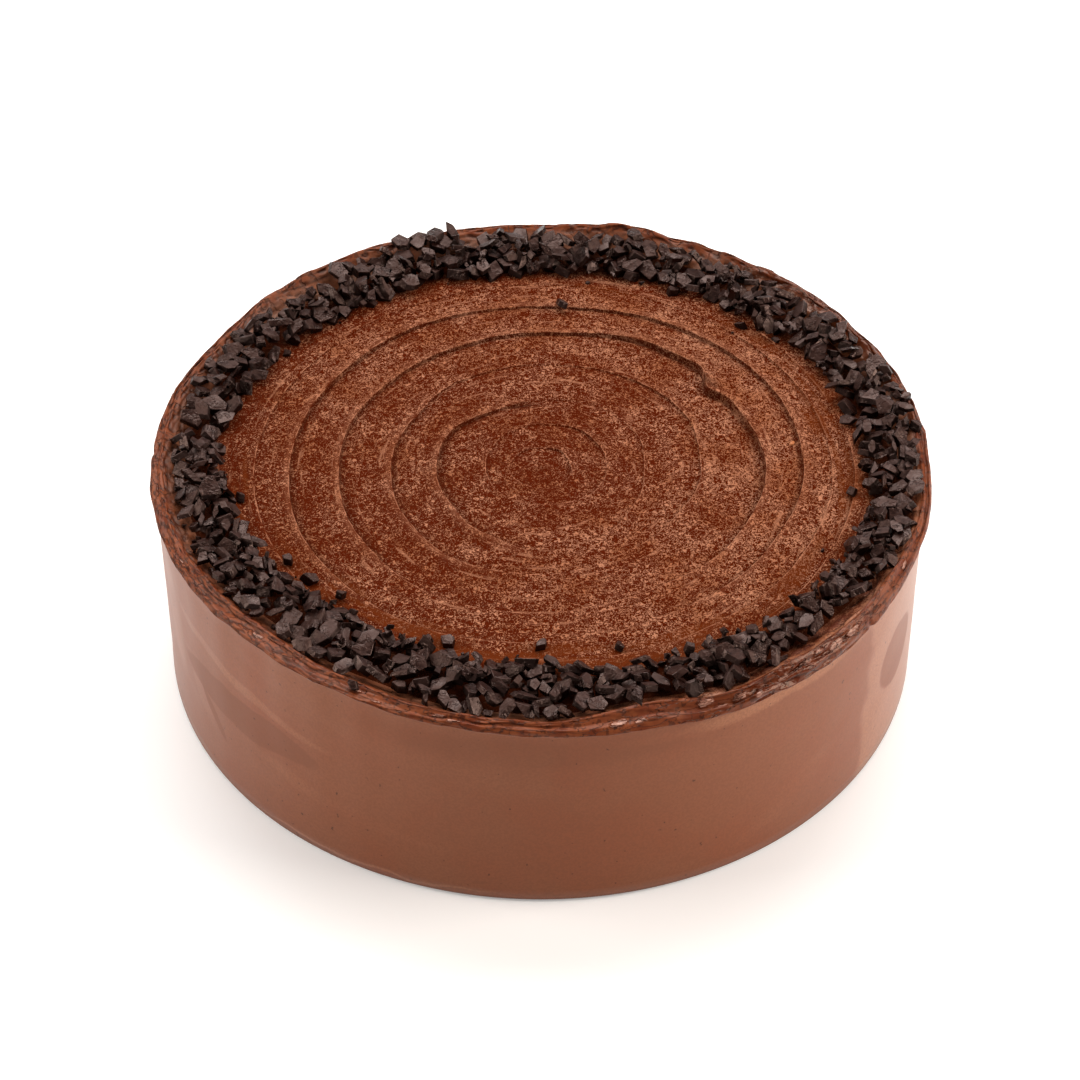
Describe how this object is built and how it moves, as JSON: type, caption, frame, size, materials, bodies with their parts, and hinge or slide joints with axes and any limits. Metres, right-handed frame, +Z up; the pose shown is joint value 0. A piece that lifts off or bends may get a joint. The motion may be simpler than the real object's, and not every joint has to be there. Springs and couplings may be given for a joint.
{
  "type": "chocolate cake",
  "caption": "Whole round chocolate layer cake with a smooth side coat, knife-ridged top, raised rough rim and a border of chopped dark chocolate.",
  "frame": {"origin": "centre of the flat base, on the surface that the cake stands on", "axes": "+Z up through the middle of the top; -Y faces the picture's viewer"},
  "size_m": [0.2399, 0.2386, 0.0775],
  "materials": {
    "chocolate_cream": "satin milk-chocolate cream with a speckled cocoa dusting on top",
    "dark_chocolate": "snapped dark chocolate with dull faces and a little gloss"
  },
  "bodies": {
    "root": {"cake": "chocolate_cream"}
  },
  "joints": []
}
